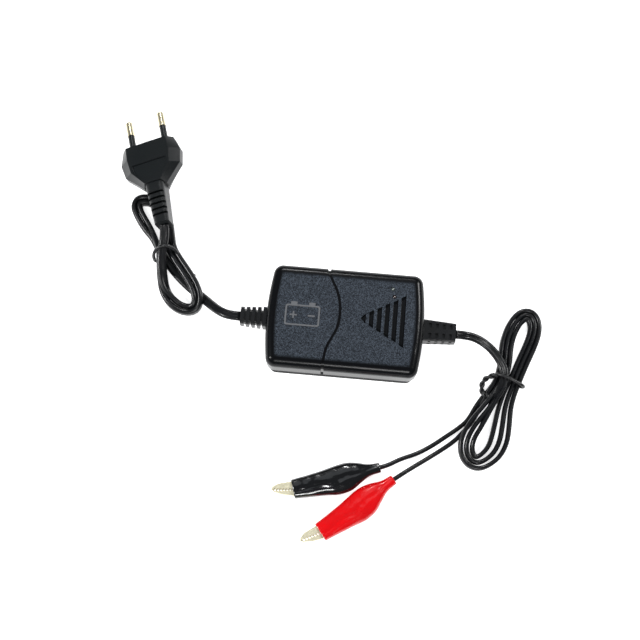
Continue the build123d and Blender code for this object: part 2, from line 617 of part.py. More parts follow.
def moving_jaw():
    gap = 0.08
    profile = [(26.6, bite(26.6) + gap), (8, bite(8) + gap), (5, 1.6), (3.0, -1.4), (0, -1.9),
               (-3, -1.4), (-5.4, 2.6), (-9, 4.9), (-15.2, 3.6), (-16.0, 4.3), (-15.0, 5.6),
               (-11, 7.4), (-6.5, 8.0), (-2, 7.0), (4, 6.1), (10, 5.6), (16, 4.5), (22, 2.4),
               (26, 0.1)]
    hollow = [(26.4, -4), (25, -0.1), (21.6, 1.7), (15.8, 3.8), (9.8, 4.9), (4, 5.4), (-2, 6.3),
              (-6.5, 7.3), (-10.8, 6.7), (-14.7, 5.0), (-16.6, 3.6), (-16.6, -4)]
    jaw = channel(profile, hollow, MOVING_HALF_W)
    jaw -= teeth(9.5, 25.6, lambda u: bite(u) + gap, 1)
    jaw -= Pos(PIVOT[0], PIVOT[1], 0) * Cylinder(1.3, 12)
    return jaw


def rivet():
    shank = Pos(PIVOT[0], PIVOT[1], 0) * Cylinder(1.2, 2 * FIXED_HALF_W + 0.4)
    heads = []
    for side in (-1, 1):
        head = Pos(PIVOT[0], PIVOT[1], side * (FIXED_HALF_W + 0.25)) * Cylinder(1.9, 0.5)
        heads.append(fillet(head.edges().group_by(Axis.Z)[0 if side < 0 else -1], 0.3))
    return shank + heads


def spring():
    """Torsion spring: its coil lies on the rivet, and each leg presses on one handle."""
    coil = Pos(PIVOT[0], PIVOT[1], 0) * Cylinder(2.25, 3.6)
    coil -= Pos(PIVOT[0], PIVOT[1], 0) * Cylinder(1.35, 5)
    for z, start, end in ((1.35, (-0.8, 3.1), (-10.5, 6.2)), (-1.35, (-0.8, -0.5), (-10.5, -3.6))):
        leg = Edge.make_line((start[0], start[1], z), (end[0], end[1], z))
        coil += sweep(Plane(origin=leg @ 0, z_dir=leg % 0) * Circle(0.4), path=Wire([leg]))
    return coil


BOOT_SECTIONS = [           # u, v of the fixed side, v of the moving side, half height
    (16.0, -4.0, 6.0, 4.5),
    (8.0, -4.4, 7.0, 4.7),
    (0.0, -5.1, 8.0, 4.95),
    (-6.5, -6.0, 9.2, 4.95),
    (-13.0, -6.5, 8.4, 4.9),
    (-19.5, -4.9, 5.0, 4.1),
    (-23.5, -3.0, 3.0, 3.0),
    (-29.5, -2.6, 2.6, 2.5),
]


def boot_loft(shrink, overrun):
    sections = []
    last = len(BOOT_SECTIONS) - 1
    for i, (u, low, high, half_h) in enumerate(BOOT_SECTIONS):
        extend = overrun if i == 0 else -overrun if i == last else 0
        size_v = high - low - 2 * shrink
        size_w = 2 * (half_h - shrink)
        centre = (low + high) / 2
        plane = Plane(origin=(u + extend, centre, 0), x_dir=(0, 1, 0), z_dir=(1, 0, 0))
        sections.append(plane * RectangleRounded(size_v, size_w, BOOT_CORNER_R - shrink))
    return loft(sections)


def boot():
    """Soft sleeve over the clip, open at its mouth, with a small hole for the lead at its neck."""
    sleeve = boot_loft(0, 0)
    sleeve -= boot_loft(BOOT_WALL, 0.5) & block(-27.0, 20, -20, 20, -10, 10)
    sleeve -= lying("X", (-28, 0, 0), 8, SINGLE_D + 0.1)
    return sleeve


def make_clips():
    for colour, neck, heading in (("black", BLACK_CLIP_NECK, BLACK_HEADING),
                                  ("red", RED_CLIP_NECK, RED_HEADING)):
        place = clip_place(neck, heading)
        save(f"{colour}_fixed_jaw", place * fixed_jaw())
        save(f"{colour}_moving_jaw", place * moving_jaw())
        save(f"{colour}_rivet", place * rivet())
        save(f"{colour}_spring", place * spring())
        save(f"{colour}_boot", place * boot())
        print(f"{colour} clip: rivet at {(place * Pos(PIVOT[0], PIVOT[1], 0)).position}")


make_case()
make_electronics()
make_strain_reliefs()
make_plug()
make_mains_lead()
make_output_lead()
make_clips()
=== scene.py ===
"""Looks of the 12 V car battery charger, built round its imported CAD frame.

Every object is in metres in the row frame. Points are written in millimetres, as in the CAD source.
"""

import json
from math import cos, pi, radians, sin

import bpy
import numpy as np
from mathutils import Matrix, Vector, noise


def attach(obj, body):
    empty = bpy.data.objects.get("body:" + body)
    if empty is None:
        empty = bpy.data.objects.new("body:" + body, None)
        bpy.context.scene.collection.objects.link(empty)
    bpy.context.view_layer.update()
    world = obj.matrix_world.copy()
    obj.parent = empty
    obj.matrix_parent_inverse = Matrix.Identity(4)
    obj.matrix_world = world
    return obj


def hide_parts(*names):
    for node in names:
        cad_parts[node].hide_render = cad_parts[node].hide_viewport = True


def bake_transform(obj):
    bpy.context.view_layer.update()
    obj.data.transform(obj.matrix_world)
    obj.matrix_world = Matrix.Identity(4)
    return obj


MM = 0.001

# ---------------------------------------------------------------- dimensions, in millimetres and degrees
CAMERA_TARGET = (-13.35, 4.8, 0.0)
CAMERA_AZIMUTH = 5.0
CAMERA_ELEVATION = 75.5
CAMERA_DISTANCE = 560.0
CAMERA_LENS = 58.95         # on a 36 mm sensor

CASE_H = 25.0
PARTING_Z = 12.5
LID_HALF_Y = (21.0, 22.6)   # where the lid's grain and painted sheen begin to fade towards the long sides, and end
LID_HALF_X = (34.7, 36.2)   # the same towards the bowed ends
LID_BOW = 0.00327           # the bowed ends come in by this times the square of y
MAINS_GLAND = (-54.6, 0.0, PARTING_Z)
DC_GLAND = (57.6, 0.0, PARTING_Z)
MAINS_T, MAINS_W = 3.1, 5.1
CORE_D = 2.4                # one round core of the output lead
CORE_APART = 2.3            # between the middles of its two cores
CORE_WEB = 0.45             # half thickness of the web between the output lead's cores
MAINS_WAIST = 0.18          # how far the mains lead's waist lies in from its cores' radius
TIE_D = 1.7                 # a twist tie's loop
TIE_WIRE_D = 1.5            # each of its two twisted ends

FLOOR_HALF_M = 9.0          # in metres
FLOOR_DROP_M = 0.0002
FLOOR_GLOW = 0.8            # keeps the floor white where the object shades it

LINE_STEPS = 6              # points read from a spline for each of its control points

CLIP_Z = 5.0
NECK_U = -29.5
CLIPS = {                   # where a clip's boot ends, and the way that the clip points
    "black": ((24.0, -71.4), -162.3),
    "red": ((31.4, -76.9), -141.0),
}

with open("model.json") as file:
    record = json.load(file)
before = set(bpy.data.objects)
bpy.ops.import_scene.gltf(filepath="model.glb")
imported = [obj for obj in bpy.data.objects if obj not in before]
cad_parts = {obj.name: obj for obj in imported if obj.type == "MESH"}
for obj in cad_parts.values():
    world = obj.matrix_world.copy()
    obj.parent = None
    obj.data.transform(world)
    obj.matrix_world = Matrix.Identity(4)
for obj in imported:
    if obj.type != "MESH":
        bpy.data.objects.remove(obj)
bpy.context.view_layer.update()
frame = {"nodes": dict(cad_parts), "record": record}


# ---------------------------------------------------------------- camera, floor and light


def aim(obj, target, back, distance):
    """Put obj at a distance from a target, along back, looking at the target."""
    obj.location = target + back * distance
    obj.rotation_euler = (-back).to_track_quat("-Z", "Y").to_euler()


def add_object(name, data):
    obj = bpy.data.objects.new(name, data)
    bpy.context.scene.collection.objects.link(obj)
    return obj


def make_camera():
    data = bpy.data.cameras.new("camera")
    data.sensor_width = 36.0
    data.lens = CAMERA_LENS
    data.clip_start = 0.01
    camera = add_object("camera", data)
    az, el = radians(CAMERA_AZIMUTH), radians(CAMERA_ELEVATION)
    back = Vector((sin(az) * cos(el), -cos(az) * cos(el), sin(el)))
    aim(camera, Vector(CAMERA_TARGET) * MM, back, CAMERA_DISTANCE * MM)
    bpy.context.scene.camera = camera


def soft_sun(name, azimuth, elevation, strength, spread, colour=(1.0, 1.0, 1.0)):
    """A far lamp. Azimuth 0 stands in front of the object and 90 on its right; spread is its width."""
    data = bpy.data.lights.new(name, "SUN")
    data.energy = strength
    data.angle = radians(spread)
    data.color = colour
    az, el = radians(azimuth), radians(elevation)
    aim(add_object(name, data), Vector((0, 0, 0)),
        Vector((sin(az) * cos(el), -cos(az) * cos(el), sin(el))), 1.0)


def make_stage():
    half = FLOOR_HALF_M
    mesh = bpy.data.meshes.new("floor")
    mesh.from_pydata([(-half, -half, 0), (half, -half, 0), (half, half, 0), (-half, half, 0)], [],
                     [(0, 1, 2, 3)])
    floor = add_object("floor", mesh)
    floor.location.z = -FLOOR_DROP_M
    pale = finish("pale_floor", (0.93, 0.935, 0.94), 0.75, vary=0.006, patch=3, grain=60, relief=0.0,
                  specular=0.15)
    glow = pale.node_tree.nodes["Principled BSDF"]
    glow.inputs["Emission Color"].default_value = (1.0, 1.0, 1.0, 1.0)
    glow.inputs["Emission Strength"].default_value = FLOOR_GLOW
    floor.data.materials.append(pale)
    soft_sun("key_left", -78, 38, 2.2, 10)
    soft_sun("key_right", 118, 40, 1.4, 12)
    soft_sun("front_fill", 6, 46, 1.1, 14)
    soft_sun("back_rim", 186, 40, 0.9, 8)
    soft_sun("top_fill", 180, 62, 0.14, 30, (0.90, 0.95, 1.0))
    world = bpy.data.worlds.new("studio")
    world.use_nodes = True
    world.node_tree.nodes["Background"].inputs["Color"].default_value = (0.93, 0.96, 1.0, 1.0)
    world.node_tree.nodes["Background"].inputs["Strength"].default_value = 0.14
    bpy.context.scene.world = world
    bpy.context.scene.view_settings.view_transform = "Standard"


# ---------------------------------------------------------------- materials


class Nodes:
    """The few node kinds that the materials use, linked as they are made."""

    def __init__(self, name):
        self.material = bpy.data.materials.new(name)
        self.material.use_nodes = True
        self.tree = self.material.node_tree
        self.shader = self.tree.nodes["Principled BSDF"]
        self.place = self.tree.nodes.new("ShaderNodeTexCoord")

    def link(self, source, target):
        self.tree.links.new(source, target)

    def noise(self, scale, detail=3.0, roughness=0.55):
        node = self.tree.nodes.new("ShaderNodeTexNoise")
        node.inputs["Scale"].default_value = scale
        node.inputs["Detail"].default_value = detail
        node.inputs["Roughness"].default_value = roughness
        self.link(self.place.outputs["Object"], node.inputs["Vector"])
        return node.outputs["Fac"]

    def cells(self, scale):
        node = self.tree.nodes.new("ShaderNodeTexVoronoi")
        node.inputs["Scale"].default_value = scale
        self.link(self.place.outputs["Object"], node.inputs["Vector"])
        return node.outputs["Distance"]

    def spread(self, value, low, high, first=0.3, last=0.7):
        node = self.tree.nodes.new("ShaderNodeMapRange")
        node.inputs["From Min"].default_value = first
        node.inputs["From Max"].default_value = last
        node.inputs["To Min"].default_value = low
        node.inputs["To Max"].default_value = high
        self.link(value, node.inputs["Value"])
        return node.outputs["Result"]

    def math(self, operation, a, b, c=None):
        node = self.tree.nodes.new("ShaderNodeMath")
        node.operation = operation
        for socket, value in zip(node.inputs, (a, b, c)):
            if isinstance(value, (int, float)):
                socket.default_value = value
            elif value is not None:
                self.link(value, socket)
        return node.outputs["Value"]

    def mix(self, factor, one, two):
        node = self.tree.nodes.new("ShaderNodeMix")
        node.data_type = "RGBA"
        self.link(factor, node.inputs["Factor"])
        for socket, colour in ((node.inputs["A"], one), (node.inputs["B"], two)):
            if isinstance(colour, tuple):
                socket.default_value = (*colour, 1.0)
            else:
                self.link(colour, socket)
        return node.outputs["Result"]

    def bump(self, height, distance, strength=1.0):
        node = self.tree.nodes.new("ShaderNodeBump")
        node.inputs["Distance"].default_value = distance
        if isinstance(strength, float):
            node.inputs["Strength"].default_value = strength
        else:
            self.link(strength, node.inputs["Strength"])
        self.link(height, node.inputs["Height"])
        self.link(node.outputs["Normal"], self.shader.inputs["Normal"])

    def split(self, vector):
        node = self.tree.nodes.new("ShaderNodeSeparateXYZ")
        self.link(vector, node.inputs["Vector"])
        return node.outputs


def scaled(colour, by):
    return tuple(min(1.0, c * by) for c in colour)


def finish(name, colour, rough, vary=0.2, patch=70.0, grain=1500.0, relief=0.00002, rough_vary=0.05,
           metallic=0.0, coat=0.0, coat_rough=0.08, specular=0.5, dimples=0.0, cell=900.0):
    """A moulded, painted or metal surface: soft patches of colour and gloss, and a fine grain."""
    n = Nodes(name)
    patches = n.noise(patch)
    n.link(n.mix(n.spread(patches, 0.0, 1.0), scaled(colour, 1 - vary), scaled(colour, 1 + vary)),
           n.shader.inputs["Base Color"])
    n.link(n.spread(patches, rough + rough_vary, rough - rough_vary), n.shader.inputs["Roughness"])
    n.shader.inputs["Metallic"].default_value = metallic
    n.shader.inputs["Specular IOR Level"].default_value = specular
    n.shader.inputs["Coat Weight"].default_value = coat
    n.shader.inputs["Coat Roughness"].default_value = coat_rough
    height = n.noise(grain, 4.0)
    if dimples:
        height = n.math("MULTIPLY_ADD", n.cells(cell), dimples, height)
    if relief:
        n.bump(height, relief)
    return n.material


def case_finish():
    """Grain on the flat lid, its dark specks set in a painted blue-grey sheen; the edges, the scoops and
    the emblem are smoother, the emblem painted paler as a painted highlight.
    """
    n = Nodes("case_plastic")
    place = n.split(n.place.outputs["Object"])
    up = n.split(n.place.outputs["Normal"])["Z"]
    flat = n.spread(up, 0.0, 1.0, 0.994, 0.9995)
    lid = n.math("MULTIPLY", flat, n.math("COMPARE", place["Z"], CASE_H * MM, 0.0001))
    inner = n.spread(n.math("ABSOLUTE", place["Y"], 0.0), 1.0, 0.0, *[d * MM for d in LID_HALF_Y])
    lid = n.math("MULTIPLY", lid, inner)
    bowed = n.math("MULTIPLY_ADD", n.math("MULTIPLY", place["Y"], place["Y"]), LID_BOW / MM,
                   n.math("ABSOLUTE", place["X"], 0.0))
    lid = n.math("MULTIPLY", lid, n.spread(bowed, 1.0, 0.0, *[d * MM for d in LID_HALF_X]))
    # the raised emblem is painted paler than the black plastic round it: a painted highlight on its
    # lines
    emblem_painted_highlight = n.math("GREATER_THAN", place["Z"], (CASE_H + 0.15) * MM)
    speck = n.noise(2500.0, 2.0, 0.7)
    # the lid's colour: dark specks of grain in a blue-grey painted sheen, standing in for reflected
    # light
    lid_painted_sheen = n.mix(n.spread(speck, 0.0, 1.0, 0.42, 0.66), (0.006, 0.008, 0.011), (0.072, 0.088, 0.112))
    border_and_emblem_highlight = n.mix(emblem_painted_highlight, (0.0034, 0.0038, 0.0046), (0.125, 0.130, 0.140))
    n.link(n.mix(lid, border_and_emblem_highlight, lid_painted_sheen), n.shader.inputs["Base Color"])
    grain = n.spread(n.noise(26.0, 2.0), 0.46, 0.38)
    n.link(n.math("MULTIPLY_ADD", lid, n.math("SUBTRACT", grain, 0.22), 0.22),
           n.shader.inputs["Roughness"])
    n.shader.inputs["Specular IOR Level"].default_value = 0.14
    n.bump(n.noise(1500.0, 3.0, 0.65), 0.00012, n.math("MULTIPLY_ADD", lid, 0.88, 0.10))
    return n.material


def board_finish():
    """Green solder mask over copper tracks that show through as paler lines."""
    n = Nodes("board")
    tracks = n.spread(n.cells(260.0), 1.0, 0.0, 0.04, 0.10)
    n.link(n.mix(tracks, (0.010, 0.075, 0.030), (0.030, 0.150, 0.060)), n.shader.inputs["Base Color"])
    n.link(n.spread(n.noise(90.0), 0.35, 0.25), n.shader.inputs["Roughness"])
    n.bump(tracks, 0.00004, 0.5)
    return n.material


def make_finishes():
    black = (0.0042, 0.0046, 0.0056)
    return {
        "case_plastic": case_finish(),
        "lower_shell": finish("case_underside", (0.0040, 0.0045, 0.0055), 0.6, grain=1500,
                              relief=0.00002, specular=0.05),
        "board": board_finish(),
        "screw_steel": finish("screw_steel", (0.32, 0.32, 0.33), 0.35, metallic=1.0, relief=0.00001),
        "ferrite": finish("ferrite", (0.035, 0.034, 0.036), 0.6, grain=2500, relief=0.00005),
        "bobbin_plastic": finish("bobbin_plastic", (0.03, 0.03, 0.032), 0.4),
        "winding_tape": finish("winding_tape", (0.75, 0.55, 0.06), 0.35, vary=0.1, coat=0.3),
        "capacitor_sleeve": finish("capacitor_sleeve", (0.02, 0.03, 0.07), 0.25, coat=0.4),
        "fuse_body": finish("fuse_body", (0.12, 0.03, 0.015), 0.35, vary=0.3),
        "component_black": finish("component_black", (0.022, 0.022, 0.024), 0.5),
        "ceramic_blue": finish("ceramic_blue", (0.03, 0.13, 0.34), 0.3, coat=0.5),
        "heat_sink_metal": finish("heat_sink_metal", (0.72, 0.73, 0.75), 0.35, metallic=1.0, vary=0.08),
        "resistor_body": finish("resistor_body", (0.50, 0.38, 0.22), 0.45, vary=0.12),
        "led_green": finish("led_green", (0.07, 0.085, 0.08), 0.10, vary=0.06, relief=0.0, coat=1.0),
        "led_red": finish("led_red", (0.020, 0.010, 0.010), 0.14, vary=0.1, relief=0.0, coat=1.0),
        "wire_insulation": finish("wire_insulation", (0.03, 0.03, 0.032), 0.35),
        "relief_rubber": finish("relief_rubber", (0.0045, 0.0050, 0.0060), 0.34, relief=0.00003,
                                specular=0.38),
        "plug_plastic": finish("plug_plastic", (0.0045, 0.0062, 0.0070), 0.34, vary=0.15, patch=45,
                               grain=2600, relief=0.000035, rough_vary=0.04, specular=0.38),
        "pin_metal": finish("pin_metal", (0.68, 0.62, 0.44), 0.34, metallic=1.0, vary=0.08, grain=900,
                            relief=0.00001),
        "lead_sheath": finish("lead_sheath", black, 0.32, patch=110, relief=0.000012, specular=0.36),
        "output_sheath": finish("output_sheath", black, 0.30, patch=130, relief=0.000010, specular=0.36),
        "tie_plastic": finish("tie_plastic", (0.0050, 0.0055, 0.0065), 0.38, relief=0.00004, grain=2600),
        "clip_steel": finish("clip_steel", (0.84, 0.79, 0.58), 0.42, metallic=0.75, vary=0.12, patch=260,
                             relief=0.00010, dimples=2.0, cell=950.0),
        "rivet_steel": finish("rivet_steel", (0.60, 0.59, 0.56), 0.30, metallic=1.0, vary=0.08),
        "spring_steel": finish("spring_steel", (0.52, 0.52, 0.53), 0.32, metallic=1.0, vary=0.1),
        "boot_black": finish("boot_black", (0.0036, 0.0040, 0.0048), 0.20, patch=130, grain=420,
                             relief=0.00006, coat=0.7, coat_rough=0.06, specular=0.3),
        "boot_red": finish("boot_red", (0.64, 0.0015, 0.0035), 0.24, vary=0.06, patch=130, grain=420,
                           relief=0.00006, coat=0.35, coat_rough=0.06, specular=0.3),
    }


def paint(obj, material):
    obj.data.materials.clear()
    obj.data.materials.append(material)


def paint_cad_nodes(finishes):
    """Give each CAD node its own finish, or else the one of its material slot in the record."""
    for row in frame["record"]["subparts"]:
        paint(frame["nodes"][row["node"]], finishes.get(row["node"], finishes[row["material_slot"]]))


# ---------------------------------------------------------------- lines and tubes


def spline_line(points):
    """The smooth line of a NURBS spline that has these control points, in metres."""
    data = bpy.data.curves.new("route", "CURVE")
    data.dimensions = "3D"
    spline = data.splines.new("NURBS")
    spline.points.add(len(points) - 1)
    for point, row in zip(spline.points, points):
        point.co = (row[0] * MM, row[1] * MM, row[2] * MM, 1.0)
    spline.order_u = 3
    spline.use_endpoint_u = True
    spline.resolution_u = LINE_STEPS
    holder = add_object("route", data)
    bpy.context.view_layer.update()
    mesh = bpy.data.meshes.new_from_object(holder)
    line = [v.co.copy() for v in mesh.vertices]
    bpy.data.objects.remove(holder)
    bpy.data.curves.remove(data)
    bpy.data.meshes.remove(mesh)
    return line


def rolls_along(points, count):
    """The lead's roll at each point of its line: 0 lies flat, 90 stands on edge."""
    last = len(points) - 2
    at = [min(max(k - 0.5, 0.0), last) for k in range(len(points))]
    rolls = [row[3] if len(row) > 3 else 0.0 for row in points]
    return np.radians(np.interp(np.linspace(0, last, count), at, rolls))


def frames_along(line):
    """For each point of a line, its level sideways direction and the one upwards."""
    frames = []
    for i in range(len(line)):
        ahead = line[min(i + 1, len(line) - 1)] - line[max(i - 1, 0)]
        side = Vector((-ahead.y, ahead.x, 0.0))
        if side.length < 0.05 * ahead.length:
            side = frames[-1][0] if frames else Vector((1, 0, 0))
        side = (side - side.project(ahead)).normalized()
        frames.append((side, ahead.cross(side).normalized()))
    return frames


def tube(line, section, rolls):
    """Vertices and faces of a section carried along a line, with flat ends."""
    verts, faces = [], []
    count = len(section)
    for point, (side, up), roll in zip(line, frames_along(line), rolls):
        wide = side * cos(roll) + up * sin(roll)
        thin = up * cos(roll) - side * sin(roll)
        verts += [point + wide * (a * MM) + thin * (b * MM) for a, b in section]
    rings = len(line)
    for r in range(rings - 1):
        here, there = r * count, (r + 1) * count
        for k in range(count):
            n = (k + 1) % count
            faces.append((here + k, here + n, there + n, there + k))
    faces.append(tuple(range(count))[::-1])
    faces.append(tuple(range((rings - 1) * count, rings * count)))
    return verts, faces


def two_core_section(radius, half_apart, web, steps=9):
    """Outline of two round cores side by side, joined by a web of this half thickness."""
    reach = pi - np.arcsin(web / radius)
    right = [(half_apart + radius * cos(a), radius * sin(a)) for a in np.linspace(-reach, reach, steps)]
    left = [(-a, -b) for a, b in right]
    return right + left


def round_section(diameter, steps=12):
    return [(diameter / 2 * cos(2 * pi * k / steps), diameter / 2 * sin(2 * pi * k / steps))
            for k in range(steps)]


def mesh_piece(name, parts, material):
    """One smooth-shaded object made of several (vertices, faces) parts."""
    verts, faces = [], []
    for part_verts, part_faces in parts:
        base = len(verts)
        verts += part_verts
        faces += [tuple(base + i for i in face) for face in part_faces]
    mesh = bpy.data.meshes.new(name)
    mesh.from_pydata(verts, [], faces)
    mesh.update()
    for polygon in mesh.polygons:
        polygon.use_smooth = len(polygon.vertices) == 4
    obj = add_object(name, mesh)
    paint(obj, material)
    return obj


def hank_turn(stations, inward, places):
    """One turn of a hank: stations are (x, y, z, roll, pitch) and places the layer at each one.

    inward is 1 where the turn's inside is on the left of the way it runs, and -1 on the right.
    """
    points = []
    count = len(stations)
    for i, layer in places:
        x, y, z, roll, pitch = stations[i]
        ahead, behind = stations[(i + 1) % count], stations[i - 1]
        way = Vector((ahead[0] - behind[0], ahead[1] - behind[1])).normalized()
        shift = layer * pitch * inward
        points.append((x - way.y * shift, y + way.x * shift, z, roll))
    return points


# ---------------------------------------------------------------- mains lead

# The outer turn, clockwise from the left of the tie
MAINS_STATIONS = [
    (-103.4, 33.6, 5.65, 90, 3.1), (-107.4, 40.0, 3.8, 90, 3.2), (-112.6, 46.4, 2.6, 90, 3.2),
    (-117.4, 52.8, 2.6, 90, 3.2), (-120.6, 59.0, 2.6, 90, 3.3), (-118.6, 64.2, 2.6, 90, 3.3),
    (-112.6, 65.2, 2.6, 90, 3.3), (-106.2, 63.0, 2.6, 90, 3.2), (-101.6, 57.8, 2.6, 90, 3.2),
    (-99.0, 51.2, 2.6, 90, 3.2), (-97.2, 44.0, 3.8, 90, 3.1), (-95.2, 36.4, 5.5, 90, 3.1),
    (-90.2, 29.8, 5.8, 90, 3.1), (-84.9, 23.4, 5.9, 90, 3.2), (-80.0, 16.8, 5.9, 90, 3.2),
    (-77.3, 10.0, 5.6, 90, 3.2), (-78.2, 4.4, 3.8, 90, 3.2), (-82.6, 1.8, 2.6, 90, 3.3),
    (-88.6, 2.4, 2.6, 90, 3.4), (-94.4, 6.0, 2.6, 90, 3.4), (-98.7, 11.8, 2.6, 90, 3.2),
    (-101.0, 18.8, 2.6, 90, 3.1), (-102.3, 26.2, 4.2, 90, 3.1),
]


def mains_points():
    count = len(MAINS_STATIONS)
    lead_in = [
        (*MAINS_GLAND, 0), (-60.9, 0, PARTING_Z, 0), (-66.8, 2.7, 10.0, 0), (-72.0, 6.9, 5.9, 0),
        (-76.4, 10.6, 2.4, 0), (-81.2, 13.9, 1.6, 0), (-86.2, 17.6, 1.6, 0), (-91.0, 21.8, 1.6, 0),
        (-95.6, 26.4, 1.6, 0), (-99.8, 31.2, 1.9, 10), (-103.4, 36.2, 2.5, 45),
        (-107.4, 41.4, 2.8, 80),
    ]
    first = hank_turn(MAINS_STATIONS, -1, [(i, 0.0) for i in range(2, count - 2)])
    across = hank_turn(MAINS_STATIONS, -1, [(count - 2, 0.1), (count - 1, 0.15), (0, 0.3), (1, 0.6)])
    second = hank_turn(MAINS_STATIONS, -1, [(i, 1.0) for i in range(2, count - 3)])
    to_plug = [
        (-96.8, 13.4, 3.6, 60), (-98.9, 19.4, 5.6, 25), (-99.9, 25.4, 7.8, 5), (-100.3, 30.6, 9.6, 0),
        (-100.2, 35.4, 10.4, 0), (-99.7, 39.8, 12.2, -6), (-99.8, 43.4, 14.2, -12),
        (-100.17, 46.11, 15.35, -12),
    ]
    return lead_in + first + across + second + to_plug


def make_mains_lead(finishes):
    points = mains_points()
    line = spline_line(points)
    section = two_core_section(MAINS_T / 2, (MAINS_W - MAINS_T) / 2, MAINS_T / 2 - MAINS_WAIST)
    lead = mesh_piece("mains_cord", [tube(line, section, rolls_along(points, len(line)))],
                      finishes["lead_sheath"])
    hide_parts("mains_lead", "mains_hank", "mains_lead_end")
    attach(lead, "charger")
    return lead, line


# ---------------------------------------------------------------- output lead

# The outermost turn, anticlockwise from the left of the tie
OUTPUT_STATIONS = [
    (84.0, -20.0, 2.5, 90, 2.4), (80.4, -27.4, 4.4, 90, 2.6), (75.2, -35.0, 5.1, 90, 2.8),
    (69.9, -42.0, 5.1, 90, 3.0), (65.9, -48.8, 5.1, 90, 3.1), (64.3, -55.2, 4.0, 90, 3.1),
    (65.2, -61.4, 2.8, 90, 3.1), (69.0, -66.2, 2.45, 90, 3.0), (74.6, -67.6, 2.45, 90, 2.9),
    (80.4, -64.9, 2.45, 90, 2.8), (85.6, -59.8, 2.45, 90, 2.7), (88.7, -52.4, 2.45, 90, 2.7),
    (89.4, -43.6, 2.45, 90, 2.6), (89.6, -34.8, 2.45, 90, 2.5), (91.2, -27.2, 2.45, 90, 2.45),
    (93.6, -20.2, 2.45, 90, 2.4), (97.4, -9.8, 2.45, 90, 2.45), (101.0, -0.8, 2.45, 90, 2.45),
    (103.3, 7.6, 2.45, 90, 2.45), (102.4, 14.8, 2.45, 90, 2.5), (98.2, 18.9, 2.45, 90, 2.5),
    (92.8, 18.0, 2.45, 90, 2.5), (89.0, 13.2, 2.45, 90, 2.5), (86.4, 6.4, 2.45, 90, 2.5),
    (85.3, -1.8, 2.45, 90, 2.45), (85.6, -10.8, 2.45, 90, 2.4),
]
STEP_OUT = {21: 0.1, 22: 0.3, 23: 0.5, 24: 0.75, 25: 0.95}     # where a turn moves out by one layer
STRAY = {8: 0.2, 9: 0.5, 10: 0.9, 11: 1.1, 12: 0.9, 13: 0.5, 14: 0.2}    # turns that lie loose
LOOSENESS = (1.0, 0.4, 0.0)    # how far each turn strays, from the inner one to the outer


def output_points():
    count = len(OUTPUT_STATIONS)
    lead_in = [
        (*DC_GLAND, 0), (62.4, 0, PARTING_Z, 0), (68.2, 0, 9.6, 0), (74.0, -2.2, 7.6, 0),
        (79.0, -6.0, 6.6, 0), (82.8, -10.8, 6.3, 0), (85.2, -15.8, 6.25, 0), (85.2, -20.8, 6.25, 0),
        (83.4, -26.2, 6.2, 15), (80.4, -31.6, 5.4, 50),
    ]
    points = lead_in
    for turn, first in ((0, 3), (1, 0), (2, 0)):
        points = points + hank_turn(OUTPUT_STATIONS, 1, [
            (i, 2 - turn - STEP_OUT.get(i, 0.0) + LOOSENESS[turn] * STRAY.get(i, 0.0))
            for i in range(first, count)])
    end = [(81.6, -19.8, 2.45, 90), (78.3, -25.6, 2.4, 80), (75.0, -31.2, 1.8, 40),
           (72.2, -36.4, 1.3, 0), (70.2, -40.8, 1.3, 0)]
    return points + end


def clip_axes(colour):
    """A clip's own frame: the place over its boot's middle, its forward way and the way to its left."""
    neck, heading = CLIPS[colour]
    forward = Vector((cos(radians(heading)), sin(radians(heading)), 0))
    left = Vector((-forward.y, forward.x, 0))
    origin = Vector((*neck, CLIP_Z)) - forward * NECK_U
    return origin, forward, left


def in_neck(colour, u):
    origin, forward, _ = clip_axes(colour)
    return tuple(origin + forward * (NECK_U + u))


def make_output_leads(finishes):
    points = output_points()
    line = spline_line(points)
    section = two_core_section(CORE_D / 2, CORE_APART / 2, CORE_WEB)
    twin = tube(line, section, rolls_along(points, len(line)))
    black_line = spline_line([
        (70.5, -37.4, 1.3), (69.1, -40.4, 1.3), (66.8, -43.8, 1.3), (63.0, -47.4, 1.3),
        (57.6, -51.6, 1.3), (50.6, -57.2, 1.3), (42.6, -62.4, 1.8), (34.0, -66.0, 3.5),
        in_neck("black", -3.5), in_neck("black", 2.5)])
    red_line = spline_line([
        (72.6, -38.4, 1.3), (71.2, -41.4, 1.3), (68.8, -45.2, 1.3), (65.8, -48.9, 1.3),
        (62.2, -53.4, 1.3), (57.0, -57.8, 1.3), (50.2, -62.9, 1.5), (42.6, -68.4, 3.1),
        in_neck("red", -4), in_neck("red", 2.5)])
    ring = round_section(CORE_D)
    black = mesh_piece("output_cord", [twin, tube(black_line, ring, [0.0] * len(black_line))],
                       finishes["output_sheath"])
    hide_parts("dc_lead", "dc_hank", "black_lead")
    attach(black, "charger")
    red = mesh_piece("red_clip_core", [tube(red_line, ring, [0.0] * len(red_line))],
                     finishes["output_sheath"])
    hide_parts("red_lead")
    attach(red, "charger")
    return black, line + black_line[1:], red, red_line


# ---------------------------------------------------------------- twist ties


def twisted_pair(points, apart, pitch):
    """Two wires wound round each other along a smooth line."""
    line = spline_line(points)
    frames = frames_along(line)
    travelled = np.cumsum([0.0] + [(b - a).length for a, b in zip(line, line[1:])])
    wires = []
    for start in (0.0, pi):
        wire = []
        for point, (side, up), s in zip(line, frames, travelled):
            angle = start + 2 * pi * s / (pitch * MM)
            wire.append(point + (side * cos(angle) + up * sin(angle)) * (apart * MM))
        wires.append(wire)
    return wires


